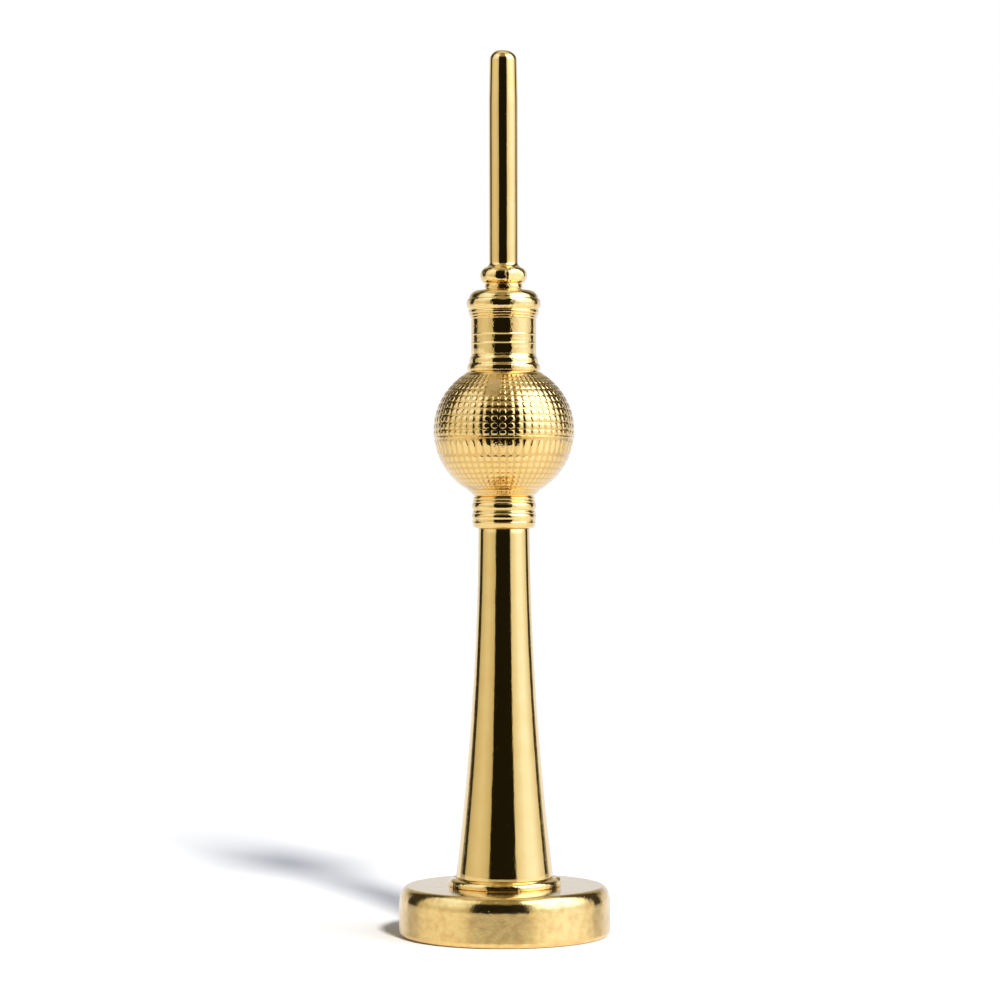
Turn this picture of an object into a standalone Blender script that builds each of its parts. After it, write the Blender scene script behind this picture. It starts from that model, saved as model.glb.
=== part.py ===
"""Gold television-tower souvenir: turned and cast pieces stacked on a tie rod.

Metres, +Z up. The origin is the centre of the felt pad's underside, and every
piece is a body of revolution about Z (the nut apart).
"""

import math

import bmesh
import bpy

MM = 0.001

# Driving dimensions. Heights are measured up from the surface it stands on.
TOTAL_HEIGHT = 140.0 * MM
GAP = 0.3 * MM                       # between pieces that touch on the real object

ROD_RADIUS = 1.5 * MM                # M3 tie rod
BORE_RADIUS = ROD_RADIUS + GAP       # the clearance hole through every piece on it

PAD_THICKNESS = 1.2 * MM
PAD_RADIUS = 14.7 * MM

BASE_RADIUS = 16.72 * MM
BASE_UNDERSIDE_Z = 0.3 * MM          # the pad stands this proud of the rim
BASE_TOP_Z = 7.9 * MM
BASE_TOP_ROUND = 1.95 * MM
BASE_BOTTOM_ROUND = 0.85 * MM
COUNTERBORE_RADIUS = 4.5 * MM

NUT_ACROSS_FLATS = 5.5 * MM
NUT_THICKNESS = 2.2 * MM
WASHER_RADIUS = 3.5 * MM
WASHER_THICKNESS = 0.5 * MM

BUSH_RADIUS = 5.4 * MM
BUSH_DEPTH_IN_BASE = 1.3 * MM
BUSH_TOP_Z = 11.6 * MM

FOOT_RING_RADIUS = 8.95 * MM
FOOT_RING_TOP_Z = 9.05 * MM

SHAFT_TOP_RADIUS = 4.04 * MM
SHAFT_FLARE_LINEAR = 0.69 * MM       # radius gained by the straight part of the taper
SHAFT_FLARE_SQUARE = 3.02 * MM       # radius gained by the concave part
SHAFT_TOP_Z = 64.1 * MM
SHAFT_WALL = 1.7 * MM
SHAFT_HOLLOW_TOP_Z = 38.0 * MM

COLLAR_BOTTOM_Z = SHAFT_TOP_Z + GAP
COLLAR_TOP_Z = 69.5 * MM
COLLAR_RIDGE_RADIUS = 5.07 * MM

BALL_RADIUS = 11.16 * MM
BALL_HALF_HEIGHT = 10.86 * MM
BALL_CENTRE_Z = 79.9 * MM
BALL_SEAM_Z = 78.8 * MM
BALL_WALL = 4.3 * MM                 # a thick cored casting
BALL_BOTTOM_Z = COLLAR_TOP_Z + GAP
BALL_TOP_Z = 89.0 * MM
BALL_LIP_RADIUS = 8.8 * MM           # the lower half's lip, which centres the upper half
BALL_LIP_HEIGHT = 1.0 * MM

DRUM_FOOT_RADIUS = 5.78 * MM
DRUM_FOOT_TOP_Z = 91.95 * MM
DRUM_RADIUS = 5.14 * MM
DRUM_TOP_Z = 97.5 * MM
DRUM_LINE_HEIGHT = 0.12 * MM
CAP_RADIUS = 5.86 * MM
CAP_TOP_Z = 102.0 * MM

NECK_RADIUS = 2.97 * MM
BEAD_RADIUS = 3.72 * MM
BEAD_CENTRE_Z = 104.3 * MM
BEAD_HALF_HEIGHT = 1.35 * MM
SOCKET_TOP_Z = 105.8 * MM
ROD_TOP_Z = 103.4 * MM

ANTENNA_FOOT_RADIUS = 2.30 * MM
ANTENNA_TIP_RADIUS = 2.14 * MM
ANTENNA_TIP_ROUND = 1.6 * MM
ANTENNA_SPIGOT_RADIUS = 1.2 * MM
ANTENNA_SPIGOT_LENGTH = 1.8 * MM

# Facets round a turned piece, by its size.
LARGE_STEPS = 40
MEDIUM_STEPS = 32
SMALL_STEPS = 24

GOLD = (0.83, 0.61, 0.27)
SATIN_GOLD = (0.78, 0.57, 0.25)
STEEL = (0.56, 0.57, 0.58)
BRASS = (0.72, 0.55, 0.27)
FELT = (0.025, 0.05, 0.035)


def clear_scene():
    for obj in list(bpy.data.objects):
        bpy.data.objects.remove(obj, do_unlink=True)


def new_collection(name):
    collection = bpy.data.collections.new(name)
    bpy.context.scene.collection.children.link(collection)
    return collection


def make_material(name, colour, roughness, metallic):
    material = bpy.data.materials.new(name)
    material.use_nodes = True
    shader = material.node_tree.nodes["Principled BSDF"]
    shader.inputs["Base Color"].default_value = (*colour, 1.0)
    shader.inputs["Roughness"].default_value = roughness
    shader.inputs["Metallic"].default_value = metallic
    return material


def arc(centre_x, centre_z, radius, start_deg, end_deg, pieces, half_height=None):
    """Points on a circular arc, or on an ellipse's when it has its own half height."""
    rise = radius if half_height is None else half_height
    points = []
    for i in range(pieces + 1):
        angle = math.radians(start_deg + (end_deg - start_deg) * i / pieces)
        points.append((centre_x + radius * math.cos(angle), centre_z + rise * math.sin(angle)))
    return points


def turned(name, profile, steps, material, closed=True):
    """A body turned about Z. The profile runs down the outer side and back up the bore."""
    mesh = bpy.data.meshes.new(name)
    build = bmesh.new()
    verts = [build.verts.new((x, 0.0, z)) for x, z in profile]
    for first, second in zip(verts, verts[1:]):
        build.edges.new((first, second))
    if closed:
        build.edges.new((verts[-1], verts[0]))
    build.to_mesh(mesh)
    build.free()
    mesh.materials.append(material)
    obj = bpy.data.objects.new(name, mesh)
    FIGURINE.objects.link(obj)
    screw = obj.modifiers.new("Turn", "SCREW")
    screw.axis = "Z"
    screw.angle = math.tau
    screw.steps = steps
    screw.render_steps = steps
    screw.use_merge_vertices = True
    screw.merge_threshold = 0.000005
    screw.use_smooth_shade = True
    return obj


def bored_ring(name, bore, top_z, bottom_z, outer, steps, material):
    """A turned piece with a straight bore: its outer outline from top to bottom, then the bore."""
    profile = [(bore, top_z)] + outer + [(bore, bottom_z)]
    return turned(name, profile, steps, material)


def ball_radius_at(z, shrink=0.0):
    """The ball's radius at a height, or that of the hollow inside a wall of the given thickness."""
    share = (z - BALL_CENTRE_Z) / (BALL_HALF_HEIGHT - shrink)
    return (BALL_RADIUS - shrink) * math.sqrt(max(0.0, 1.0 - share * share))


def shaft_radius_at(z):
    share = (SHAFT_TOP_Z - z) / (SHAFT_TOP_Z - FOOT_RING_TOP_Z)
    return SHAFT_TOP_RADIUS + SHAFT_FLARE_LINEAR * share + SHAFT_FLARE_SQUARE * share * share


def spread(start, end, pieces):
    """Evenly spaced values from start to end, both included."""
    return [start + (end - start) * i / pieces for i in range(pieces + 1)]


def make_felt_pad():
    profile = [
        (0.0, PAD_THICKNESS),
        (PAD_RADIUS, PAD_THICKNESS),
        (PAD_RADIUS, 0.0),
        (0.0, 0.0),
    ]
    turned("felt_pad", profile, LARGE_STEPS, FELT_MATERIAL, closed=False)


def make_base_disc():
    recess_radius = PAD_RADIUS + GAP
    recess_z = PAD_THICKNESS + GAP
    counterbore_z = recess_z + NUT_THICKNESS + GAP + WASHER_THICKNESS + GAP
    pocket_z = BASE_TOP_Z - BUSH_DEPTH_IN_BASE
    pocket_radius = BUSH_RADIUS + GAP
    top_corner = arc(
        BASE_RADIUS - BASE_TOP_ROUND, BASE_TOP_Z - BASE_TOP_ROUND, BASE_TOP_ROUND, 90, 0, 5
    )
    bottom_corner = arc(
        BASE_RADIUS - BASE_BOTTOM_ROUND,
        BASE_UNDERSIDE_Z + BASE_BOTTOM_ROUND,
        BASE_BOTTOM_ROUND,
        0,
        -90,
        3,
    )
    profile = [(pocket_radius, BASE_TOP_Z)]
    profile += top_corner
    profile += bottom_corner
    profile += [
        (recess_radius, BASE_UNDERSIDE_Z),
        (recess_radius, recess_z),
        (COUNTERBORE_RADIUS, recess_z),
        (COUNTERBORE_RADIUS, counterbore_z),
        (BORE_RADIUS, counterbore_z),
        (BORE_RADIUS, pocket_z),
        (pocket_radius, pocket_z),
    ]
    turned("base_disc", profile, LARGE_STEPS, SATIN_MATERIAL)


def make_hex_nut():
    """A hexagon with chamfered corners and a clearance hole."""
    bottom_z = PAD_THICKNESS + GAP
    top_z = bottom_z + NUT_THICKNESS
    corner_radius = NUT_ACROSS_FLATS / 2 / math.cos(math.pi / 6)
    hexagon = bmesh.new()
    bmesh.ops.create_cone(
        hexagon,
        cap_ends=True,
        segments=6,
        radius1=corner_radius,
        radius2=corner_radius,
        depth=NUT_THICKNESS,
    )
    mesh = bpy.data.meshes.new("hex_nut")
    hexagon.to_mesh(mesh)
    hexagon.free()
    mesh.materials.append(STEEL_MATERIAL)
    nut = bpy.data.objects.new("hex_nut", mesh)
    nut.location = (0.0, 0.0, (bottom_z + top_z) / 2)
    FIGURINE.objects.link(nut)

    chamfer = 0.35 * MM
    over = 0.5 * MM
    envelope_profile = [
        (0.0, top_z + over),
        (corner_radius - chamfer - over, top_z + over),
        (corner_radius + over, top_z - chamfer - over),
        (corner_radius + over, bottom_z - over),
        (0.0, bottom_z - over),
    ]
    envelope = turned("nut_chamfer", envelope_profile, SMALL_STEPS, STEEL_MATERIAL, closed=False)
    drill_profile = [
        (0.0, top_z + over),
        (BORE_RADIUS, top_z + over),
        (BORE_RADIUS, bottom_z - over),
        (0.0, bottom_z - over),
    ]
    drill = turned("nut_drill", drill_profile, SMALL_STEPS, STEEL_MATERIAL, closed=False)
    for cutter, operation in ((envelope, "INTERSECT"), (drill, "DIFFERENCE")):
        FIGURINE.objects.unlink(cutter)
        CUTTERS.objects.link(cutter)
        cutter.hide_render = True
        cutter.display_type = "WIRE"
        cut = nut.modifiers.new(cutter.name, "BOOLEAN")
        cut.operation = operation
        cut.solver = "EXACT"
        cut.object = cutter


def make_washer():
    bottom_z = PAD_THICKNESS + GAP + NUT_THICKNESS + GAP
    top_z = bottom_z + WASHER_THICKNESS
    outer = [(WASHER_RADIUS, top_z), (WASHER_RADIUS, bottom_z)]
    bored_ring("washer", BORE_RADIUS, top_z, bottom_z, outer, SMALL_STEPS, STEEL_MATERIAL)


def make_tie_rod():
    chamfer = 0.3 * MM
    bottom_z = PAD_THICKNESS + GAP
    profile = [
        (0.0, ROD_TOP_Z),
        (ROD_RADIUS - chamfer, ROD_TOP_Z),
        (ROD_RADIUS, ROD_TOP_Z - chamfer),
        (ROD_RADIUS, bottom_z + chamfer),
        (ROD_RADIUS - chamfer, bottom_z),
        (0.0, bottom_z),
    ]
    turned("tie_rod", profile, SMALL_STEPS, STEEL_MATERIAL, closed=False)


def make_locating_bush():
    chamfer = 0.4 * MM
    bottom_z = BASE_TOP_Z - BUSH_DEPTH_IN_BASE + GAP
    outer = [
        (BUSH_RADIUS - chamfer, BUSH_TOP_Z),
        (BUSH_RADIUS, BUSH_TOP_Z - chamfer),
        (BUSH_RADIUS, bottom_z),
    ]
    bored_ring(
        "locating_bush", BORE_RADIUS, BUSH_TOP_Z, bottom_z, outer, SMALL_STEPS, BRASS_MATERIAL
    )


def make_shaft_foot_ring():
    bottom_z = BASE_TOP_Z + GAP
    half = (FOOT_RING_TOP_Z - bottom_z) / 2
    outer = arc(FOOT_RING_RADIUS - half, bottom_z + half, half, 90, -90, 6)
    bored_ring(
        "shaft_foot_ring",
        BUSH_RADIUS + GAP,
        FOOT_RING_TOP_Z,
        bottom_z,
        outer,
        MEDIUM_STEPS,
        GOLD_MATERIAL,
    )


def make_shaft():
    """A concave taper, hollow to half its height: a straight register for the bush, then a taper."""
    bottom_z = FOOT_RING_TOP_Z + GAP
    register_top_z = BUSH_TOP_Z + GAP
    register_radius = BUSH_RADIUS + GAP
    profile = [(BORE_RADIUS, SHAFT_TOP_Z)]
    profile += [(shaft_radius_at(z), z) for z in spread(SHAFT_TOP_Z, bottom_z, 12)]
    profile += [(register_radius, bottom_z), (register_radius, register_top_z)]
    hollow_heights = spread(register_top_z, SHAFT_HOLLOW_TOP_Z, 4)[1:]
    profile += [(shaft_radius_at(z) - SHAFT_WALL, z) for z in hollow_heights]
    profile += [(BORE_RADIUS, SHAFT_HOLLOW_TOP_Z + SHAFT_WALL)]
    turned("shaft", profile, MEDIUM_STEPS, GOLD_MATERIAL)


def make_collar():
    """From the top: a thin ring, two round ridges with a groove between, a bead and a chamfer."""
    thin_ring_radius = 4.83 * MM
    thin_ring_height = 0.5 * MM
    thin_ring_chamfer = 0.15 * MM
    ridge_half = 0.65 * MM
    ridge_inset = 0.35 * MM
    ridge_heights = (67.95 * MM, 66.5 * MM)
    bead_radius = 4.92 * MM
    bead_z = 65.5 * MM
    chamfer_top_z = bead_z - 0.45 * MM
    outer = [
        (thin_ring_radius - thin_ring_chamfer, COLLAR_TOP_Z),
        (thin_ring_radius, COLLAR_TOP_Z - thin_ring_chamfer),
        (thin_ring_radius, COLLAR_TOP_Z - thin_ring_height),
    ]
    for ridge_z in ridge_heights:
        outer += arc(
            COLLAR_RIDGE_RADIUS - ridge_inset, ridge_z, ridge_inset, 70, -70, 4, ridge_half
        )
    outer += [
        (bead_radius, bead_z),
        (thin_ring_radius, chamfer_top_z),
        (SHAFT_TOP_RADIUS, COLLAR_BOTTOM_Z),
    ]
    bored_ring(
        "collar", BORE_RADIUS, COLLAR_TOP_Z, COLLAR_BOTTOM_Z, outer, MEDIUM_STEPS, GOLD_MATERIAL
    )


def ball_outline(start_z, end_z, pieces, shrink=0.0):
    """Points on the ball's section between two heights, stepping by equal angles."""
    half = BALL_HALF_HEIGHT - shrink
    start = math.asin((start_z - BALL_CENTRE_Z) / half)
    end = math.asin((end_z - BALL_CENTRE_Z) / half)
    heights = [BALL_CENTRE_Z + half * math.sin(angle) for angle in spread(start, end, pieces)]
    return [(ball_radius_at(z, shrink), z) for z in heights]


def make_ball_upper_half():
    """A thick bowl, mouth down, with a rebate inside its rim for the lower half's lip."""
    rim_z = BALL_SEAM_Z + GAP / 2
    rebate_radius = BALL_LIP_RADIUS + GAP
    rebate_z = rim_z + BALL_LIP_HEIGHT
    ceiling_z = BALL_TOP_Z - BALL_WALL
    profile = [(BORE_RADIUS, BALL_TOP_Z)]
    profile += ball_outline(BALL_TOP_Z, rim_z, 8)
    profile += [(rebate_radius, rim_z), (rebate_radius, rebate_z)]
    profile += ball_outline(rebate_z, ceiling_z, 4, BALL_WALL)
    profile += [(BORE_RADIUS, ceiling_z)]
    turned("ball_upper_half", profile, LARGE_STEPS, GOLD_MATERIAL)


def make_ball_lower_half():
    """A thick bowl, mouth up, with a lip that rises inside the upper half."""
    rim_z = BALL_SEAM_Z - GAP / 2
    lip_z = rim_z + BALL_LIP_HEIGHT
    floor_z = BALL_BOTTOM_Z + BALL_WALL
    profile = [(BALL_LIP_RADIUS, lip_z), (BALL_LIP_RADIUS, rim_z)]
    profile += ball_outline(rim_z, BALL_BOTTOM_Z, 8)
    profile += [(BORE_RADIUS, BALL_BOTTOM_Z), (BORE_RADIUS, floor_z)]
    profile += ball_outline(floor_z, lip_z, 4, BALL_WALL)
    turned("ball_lower_half", profile, LARGE_STEPS, GOLD_MATERIAL)


def make_drum_foot_ring():
    """A stepped ring: a narrow band above, a groove, and a wider round band on the ball."""
    bottom_z = BALL_TOP_Z + GAP
    step_radius = 5.28 * MM
    upper_band_radius = 5.45 * MM
    upper_band_top_z = DRUM_FOOT_TOP_Z - 0.5 * MM
    upper_band_bottom_z = 90.75 * MM
    groove_z = 90.6 * MM
    lower_band_z = 90.05 * MM
    lower_band_half = 0.42 * MM
    lip_radius = 5.55 * MM
    outer = [
        (step_radius, DRUM_FOOT_TOP_Z),
        (upper_band_radius, upper_band_top_z),
        (upper_band_radius, upper_band_bottom_z),
        (step_radius, groove_z),
    ]
    outer += arc(
        DRUM_FOOT_RADIUS - lower_band_half, lower_band_z, lower_band_half, 80, -70, 4
    )
    outer += [(lip_radius, bottom_z)]
    bored_ring(
        "drum_foot_ring",
        BORE_RADIUS,
        DRUM_FOOT_TOP_Z,
        bottom_z,
        outer,
        MEDIUM_STEPS,
        GOLD_MATERIAL,
    )


def make_drum():
    """A cylinder with two thin raised lines."""
    bottom_z = DRUM_FOOT_TOP_Z + GAP
    line_heights = (95.3 * MM, 93.87 * MM)
    outer = [(DRUM_RADIUS, DRUM_TOP_Z)]
    for line_z in line_heights:
        outer += [
            (DRUM_RADIUS, line_z + DRUM_LINE_HEIGHT),
            (DRUM_RADIUS + DRUM_LINE_HEIGHT, line_z),
            (DRUM_RADIUS, line_z - DRUM_LINE_HEIGHT),
        ]
    outer += [(DRUM_RADIUS, bottom_z)]
    bored_ring("drum", BORE_RADIUS, DRUM_TOP_Z, bottom_z, outer, MEDIUM_STEPS, GOLD_MATERIAL)


def make_drum_cap():
    """A shoulder that falls to a thick rounded rim, with a thin bead under it."""
    bottom_z = DRUM_TOP_Z + GAP
    seat_radius = NECK_RADIUS + 0.2 * MM
    shoulder_radius = 4.8 * MM
    shoulder_drop = 0.15 * MM
    shoulder_round = 0.75 * MM
    rim_z = 99.9 * MM
    rim_half = 0.75 * MM
    bead_radius = 5.4 * MM
    bead_z = 98.7 * MM
    bead_half = 0.25 * MM
    skirt_radius = 5.2 * MM
    skirt_top_z = 98.1 * MM
    outer = [(seat_radius, CAP_TOP_Z)]
    outer += arc(
        shoulder_radius,
        CAP_TOP_Z - shoulder_drop - shoulder_round,
        shoulder_round,
        90,
        20,
        3,
    )
    outer += arc(CAP_RADIUS - rim_half, rim_z, rim_half, 50, -60, 4)
    outer += arc(bead_radius - bead_half, bead_z, bead_half, 60, -60, 2)
    outer += [(skirt_radius, skirt_top_z), (skirt_radius, bottom_z)]
    bored_ring(
        "drum_cap", BORE_RADIUS, CAP_TOP_Z, bottom_z, outer, MEDIUM_STEPS, GOLD_MATERIAL
    )


def make_antenna_socket():
    """A bead on a short neck, bored from below for the tie rod and from above for the antenna."""
    bottom_z = CAP_TOP_Z + GAP
    web_z = ROD_TOP_Z + GAP
    spigot_hole = ANTENNA_SPIGOT_RADIUS + GAP
    seat_radius = ANTENNA_FOOT_RADIUS + 0.2 * MM
    bead_inset = 1.1 * MM
    neck_top_z = 103.0 * MM
    neck_bottom_z = 102.7 * MM
    flare_radius = NECK_RADIUS + 0.25 * MM
    profile = [(spigot_hole, SOCKET_TOP_Z), (seat_radius, SOCKET_TOP_Z)]
    profile += arc(
        BEAD_RADIUS - bead_inset, BEAD_CENTRE_Z, bead_inset, 75, -55, 6, BEAD_HALF_HEIGHT
    )
    profile += [
        (NECK_RADIUS, neck_top_z),
        (NECK_RADIUS, neck_bottom_z),
        (flare_radius, bottom_z),
        (BORE_RADIUS, bottom_z),
        (BORE_RADIUS, web_z),
        (spigot_hole, web_z),
    ]
    turned("antenna_socket", profile, SMALL_STEPS, GOLD_MATERIAL)


def make_antenna_rod():
    foot_z = SOCKET_TOP_Z + GAP
    tip = arc(
        ANTENNA_TIP_RADIUS - ANTENNA_TIP_ROUND,
        TOTAL_HEIGHT - ANTENNA_TIP_ROUND,
        ANTENNA_TIP_ROUND,
        90,
        0,
        5,
    )
    profile = [(0.0, TOTAL_HEIGHT)]
    profile += tip
    profile += [
        (ANTENNA_FOOT_RADIUS, foot_z),
        (ANTENNA_SPIGOT_RADIUS, foot_z),
        (ANTENNA_SPIGOT_RADIUS, foot_z - ANTENNA_SPIGOT_LENGTH),
        (0.0, foot_z - ANTENNA_SPIGOT_LENGTH),
    ]
    turned("antenna_rod", profile, SMALL_STEPS, GOLD_MATERIAL, closed=False)


clear_scene()
FIGURINE = new_collection("tower_souvenir")
CUTTERS = new_collection("cutters")
GOLD_MATERIAL = make_material("polished_gold_plate", GOLD, 0.12, 1.0)
SATIN_MATERIAL = make_material("satin_gold_plate", SATIN_GOLD, 0.35, 1.0)
STEEL_MATERIAL = make_material("zinc_plated_steel", STEEL, 0.3, 1.0)
BRASS_MATERIAL = make_material("turned_brass", BRASS, 0.25, 1.0)
FELT_MATERIAL = make_material("green_felt", FELT, 0.95, 0.0)

make_felt_pad()
make_base_disc()
make_hex_nut()
make_washer()
make_tie_rod()
make_locating_bush()
make_shaft_foot_ring()
make_shaft()
make_collar()
make_ball_upper_half()
make_ball_lower_half()
make_drum_foot_ring()
make_drum()
make_drum_cap()
make_antenna_socket()
make_antenna_rod()
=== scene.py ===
import math

import bpy
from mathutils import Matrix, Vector


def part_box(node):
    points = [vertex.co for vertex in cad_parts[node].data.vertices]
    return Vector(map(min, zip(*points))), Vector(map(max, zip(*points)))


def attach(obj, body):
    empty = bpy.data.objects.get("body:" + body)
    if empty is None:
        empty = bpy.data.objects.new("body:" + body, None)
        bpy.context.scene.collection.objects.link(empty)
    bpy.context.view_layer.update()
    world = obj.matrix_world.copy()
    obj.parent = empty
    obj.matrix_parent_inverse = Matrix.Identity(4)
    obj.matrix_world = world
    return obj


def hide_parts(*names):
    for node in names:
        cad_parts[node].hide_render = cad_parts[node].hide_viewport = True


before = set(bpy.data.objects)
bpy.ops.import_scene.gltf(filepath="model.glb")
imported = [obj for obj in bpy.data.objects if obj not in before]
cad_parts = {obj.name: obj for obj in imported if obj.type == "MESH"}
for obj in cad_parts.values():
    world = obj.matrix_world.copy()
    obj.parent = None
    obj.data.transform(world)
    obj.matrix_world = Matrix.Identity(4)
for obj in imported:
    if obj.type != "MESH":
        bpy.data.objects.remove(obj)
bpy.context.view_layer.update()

MM = 0.001

# --- Base disc -----------------------------------------------------------------------------
# A die casting, tumbled and plated, so it is satin and faintly pitted. Its top edge is a large
# round and its bottom edge a small one. Underneath are a recess for the felt and a counterbore
# for the nut; on top is the locating bush's pocket.

GOLD = (0.95, 0.66, 0.215)
DEEP_GOLD = (0.92, 0.59, 0.16)
ARC_STEP = math.radians(7.5)
MERGE_DISTANCE = 0.002 * MM
EASED_ANGLE = math.radians(24)
SMOOTH_ANGLE = math.radians(40)

BASE_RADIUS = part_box("base_disc")[1].x
BASE_RIM = 0.04 * MM
BASE_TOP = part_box("base_disc")[1].z
BASE_SHOULDER_WIDTH = 1.4 * MM
BASE_SHOULDER_HEIGHT = 2.6 * MM
BASE_BOTTOM_ROUND = 0.85 * MM
RECESS_RADIUS = 15.0 * MM
RECESS_TOP = 1.5 * MM
COUNTERBORE_RADIUS = 4.5 * MM
COUNTERBORE_TOP = 4.8 * MM
POCKET_RADIUS = 5.7 * MM
POCKET_FLOOR = 6.6 * MM
ROD_HOLE = 1.65 * MM


def round_over(centre_radius, centre_height, radius, start, end, half_height=None):
    """Points (radius, height) along an arc, or an ellipse's when it has its own half height."""
    rise = radius if half_height is None else half_height
    pieces = max(2, round(abs(math.radians(end - start)) / ARC_STEP))
    points = []
    for i in range(pieces + 1):
        angle = math.radians(start + (end - start) * i / pieces)
        points.append(
            (centre_radius + radius * math.cos(angle), centre_height + rise * math.sin(angle))
        )
    return points


def pull_ring(start, points):
    """Pulls the selected ring up or down and scales it, from one outline point to the next."""
    radius, height = start
    for next_radius, next_height in points:
        bpy.ops.mesh.extrude_edges_move(
            TRANSFORM_OT_translate={"value": (0, 0, next_height - height)}
        )
        scale = next_radius / radius
        bpy.ops.transform.resize(value=(scale, scale, 1), center_override=(0, 0, next_height))
        radius = next_radius
        height = next_height


def turn(name, outline, facets, edge_round=0.06 * MM):
    """Turns a piece from its outline. An outline that ends on the axis closes there, and any
    other closes on its start."""
    bpy.ops.object.select_all(action="DESELECT")
    radius, height = outline[0]
    bpy.ops.mesh.primitive_circle_add(vertices=facets, radius=radius, location=(0, 0, height))
    piece = bpy.context.object
    piece.name = name
    bpy.ops.object.transform_apply(location=True, rotation=False, scale=False)
    bpy.ops.object.mode_set(mode="EDIT")
    bpy.ops.mesh.select_all(action="SELECT")
    on_axis = outline[-1][0] == 0.0
    if on_axis:
        bpy.ops.mesh.edge_face_add()
    pull_ring(outline[0], outline[1:] if on_axis else outline[1:] + outline[:1])
    bpy.ops.mesh.select_all(action="SELECT")
    bpy.ops.mesh.remove_doubles(threshold=MERGE_DISTANCE)
    bpy.ops.mesh.normals_make_consistent(inside=False)
    bpy.ops.object.mode_set(mode="OBJECT")
    ease_edges(piece, edge_round)
    return piece


def ease_edges(piece, width):
    """Breaks the sharp turned edges, and keeps the light even on the wide faces beside them."""
    ease = piece.modifiers.new("Ease edges", "BEVEL")
    ease.width = width
    ease.segments = 2
    ease.limit_method = "ANGLE"
    ease.angle_limit = EASED_ANGLE
    ease.use_clamp_overlap = False
    bpy.ops.object.modifier_apply(modifier=ease.name)
    bpy.ops.object.shade_smooth_by_angle(angle=SMOOTH_ANGLE)
    even = piece.modifiers.new("Even light", "WEIGHTED_NORMAL")
    even.weight = 90
    even.keep_sharp = True
    bpy.ops.object.modifier_apply(modifier=even.name)


class Finish:
    """A metal finish under construction: the shader, and helpers that add detail to it."""

    def __init__(self, name, colour, roughness, metallic=1.0):
        self.material = bpy.data.materials.new(name)
        self.material.use_nodes = True
        self.nodes = self.material.node_tree.nodes
        self.links = self.material.node_tree.links
        self.shader = self.nodes["Principled BSDF"]
        self.shader.inputs["Base Color"].default_value = (*colour, 1.0)
        self.shader.inputs["Roughness"].default_value = roughness
        self.shader.inputs["Metallic"].default_value = metallic
        self.place = self.nodes.new("ShaderNodeTexCoord").outputs["Object"]
        self.normal = None

    def noise(self, size, detail=2.0, stretch=None, seed=0.0):
        """Cloudy noise whose lumps are about the given size; stretch draws it out along an axis."""
        mapping = self.nodes.new("ShaderNodeMapping")
        mapping.inputs["Location"].default_value = (seed, seed * 0.37, seed * 0.71)
        mapping.inputs["Scale"].default_value = stretch or (1, 1, 1)
        noise = self.nodes.new("ShaderNodeTexNoise")
        noise.inputs["Scale"].default_value = 1.0 / size
        noise.inputs["Detail"].default_value = detail
        self.links.new(self.place, mapping.inputs["Vector"])
        self.links.new(mapping.outputs["Vector"], noise.inputs["Vector"])
        return noise.outputs["Fac"]

    def height(self):
        """The height above the table."""
        parts = self.nodes.new("ShaderNodeSeparateXYZ")
        self.links.new(self.place, parts.inputs["Vector"])
        return parts.outputs["Z"]

    def pits(self, size, share):
        """Small round pits, as a height that drops inside the chosen share of a cell pattern."""
        cells = self.nodes.new("ShaderNodeTexVoronoi")
        cells.inputs["Scale"].default_value = 1.0 / size
        self.links.new(self.place, cells.inputs["Vector"])
        return self.span(cells.outputs["Distance"], 0.0, share, 0.0, 1.0)

    def span(self, value, from_low, from_high, to_low, to_high):
        """Maps one range of values onto another, clamped."""
        mapped = self.nodes.new("ShaderNodeMapRange")
        mapped.inputs["From Min"].default_value = from_low
        mapped.inputs["From Max"].default_value = from_high
        mapped.inputs["To Min"].default_value = to_low
        mapped.inputs["To Max"].default_value = to_high
        self.links.new(value, mapped.inputs["Value"])
        return mapped.outputs["Result"]

    def relief(self, height, depth):
        """Raises the surface by the height pattern, up to the given depth."""
        bump = self.nodes.new("ShaderNodeBump")
        bump.inputs["Strength"].default_value = 1.0
        bump.inputs["Distance"].default_value = depth
        self.links.new(height, bump.inputs["Height"])
        if self.normal:
            self.links.new(self.normal, bump.inputs["Normal"])
        self.normal = bump.outputs["Normal"]
        self.links.new(self.normal, self.shader.inputs["Normal"])

    def tint(self, pattern, low_colour, high_colour):
        """Colours the surface between two shades along a pattern."""
        mix = self.nodes.new("ShaderNodeMix")
        mix.data_type = "RGBA"
        mix.inputs["A"].default_value = (*low_colour, 1.0)
        mix.inputs["B"].default_value = (*high_colour, 1.0)
        self.links.new(pattern, mix.inputs["Factor"])
        self.links.new(mix.outputs["Result"], self.shader.inputs["Base Color"])

    def lacquer(self):
        """The clear lacquer that the plating is sealed with, which pales the steep edges."""
        self.shader.inputs["Coat Weight"].default_value = 1.0
        self.shader.inputs["Coat Roughness"].default_value = 0.04
        self.shader.inputs["Coat IOR"].default_value = 1.5

    def rough(self, pattern, low, high):
        """Varies the roughness between two values along a pattern."""
        self.links.new(
            self.span(pattern, 0.35, 0.65, low, high), self.shader.inputs["Roughness"]
        )


STAINED_GOLD = (0.74, 0.42, 0.11)
# The casting is dull below the first height and crisp above the second.
DULL_BELOW = 3.6 * MM
CRISP_ABOVE = 5.6 * MM
DULL_ROUGHNESS = 0.27
CRISP_ROUGHNESS = 0.12


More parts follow.
